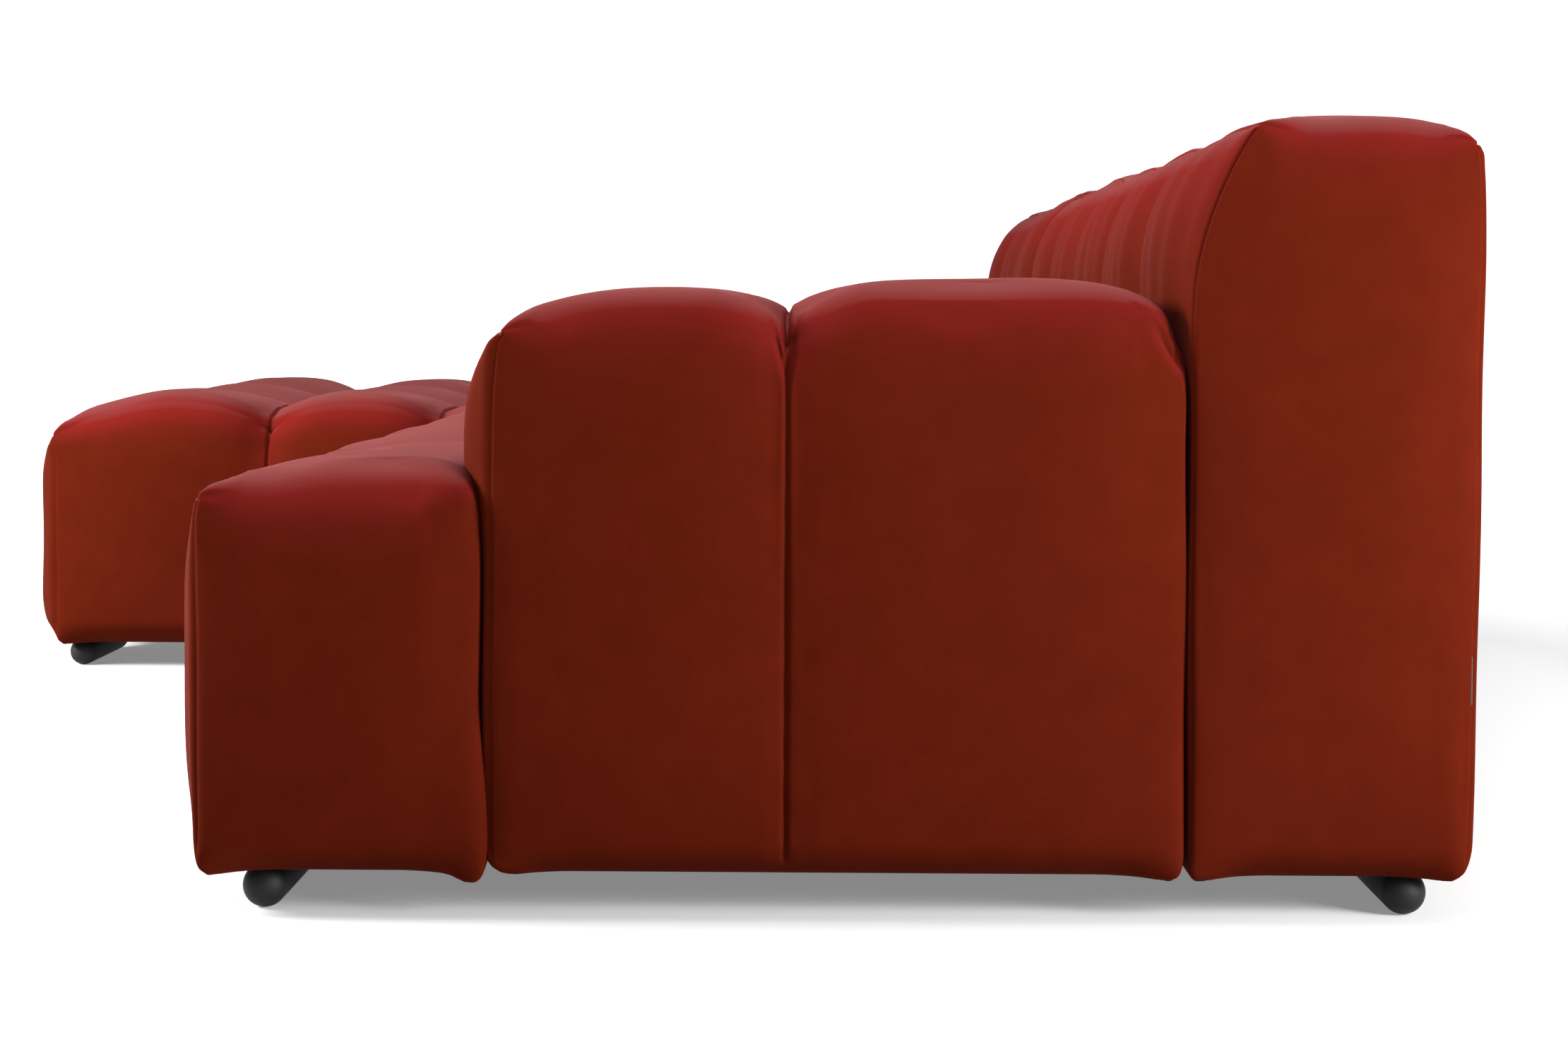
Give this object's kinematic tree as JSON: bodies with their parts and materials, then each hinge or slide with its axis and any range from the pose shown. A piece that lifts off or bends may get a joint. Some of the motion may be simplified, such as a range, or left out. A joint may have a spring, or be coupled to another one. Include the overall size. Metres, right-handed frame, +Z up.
{
  "type": "lounge sofa",
  "caption": "Low lounge sofa with an arm and a chaise: channel-quilted padded velvet blocks on round bolster feet, for sitting and lying.",
  "frame": {"origin": "on the floor, under the middle of the sofa's box", "axes": "+X along the length towards the arm, +Y towards the back, +Z up"},
  "size_m": [2.5996, 1.7356, 0.7],
  "materials": {
    "velvet": "deep red velvet, brushed pile",
    "foam": "open-cell foam",
    "timber": "planed pine",
    "webbing": "woven elastic",
    "cambric": "non-woven",
    "foot_plastic": "satin black",
    "steel": "zinc plated",
    "tag_weave": "black woven ribbon"
  },
  "bodies": {
    "root": {"arm_back_bolt": "steel", "arm_cover": "velvet", "arm_dust_cover": "cambric", "arm_foam": "foam", "arm_frame": "timber", "arm_front_bolt": "steel", "arm_seat_bolt": "steel", "chaise_back_bolt_far_side": "steel", "chaise_back_bolt_main_side": "steel", "chaise_back_cover": "velvet", "chaise_back_dust_cover": "cambric", "chaise_back_foam": "foam", "chaise_back_frame": "timber", "chaise_back_webbing": "webbing", "chaise_front_foot_arm_side": "foot_plastic", "chaise_front_foot_chaise_side": "foot_plastic", "chaise_front_foot_stud_arm_side": "steel", "chaise_front_foot_stud_chaise_side": "steel", "chaise_rear_bolt": "steel", "chaise_rear_foot_arm_side": "foot_plastic", "chaise_rear_foot_chaise_side": "foot_plastic", "chaise_rear_foot_stud_arm_side": "steel", "chaise_rear_foot_stud_chaise_side": "steel", "chaise_seat_bolt": "steel", "chaise_seat_cover": "velvet", "chaise_seat_dust_cover": "cambric", "chaise_seat_foam": "foam", "chaise_seat_frame": "timber", "chaise_seat_webbing": "webbing", "main_back_bolt_arm_side": "steel", "main_back_bolt_chaise_side": "steel", "main_back_cover": "velvet", "main_back_dust_cover": "cambric", "main_back_foam": "foam", "main_back_frame": "timber", "main_back_webbing": "webbing", "main_front_foot_arm_side": "foot_plastic", "main_front_foot_chaise_side": "foot_plastic", "main_front_foot_stud_arm_side": "steel", "main_front_foot_stud_chaise_side": "steel", "main_rear_foot_arm_side": "foot_plastic", "main_rear_foot_chaise_side": "foot_plastic", "main_rear_foot_stud_arm_side": "steel", "main_rear_foot_stud_chaise_side": "steel", "seat_front_bolt_arm_side": "steel", "seat_front_bolt_chaise_side": "steel", "seat_front_cover": "velvet", "seat_front_dust_cover": "cambric", "seat_front_foam": "foam", "seat_front_frame": "timber", "seat_front_webbing": "webbing", "seat_rear_cover": "velvet", "seat_rear_dust_cover": "cambric", "seat_rear_foam": "foam", "seat_rear_frame": "timber", "seat_rear_webbing": "webbing", "woven_tag": "tag_weave"}
  },
  "joints": []
}
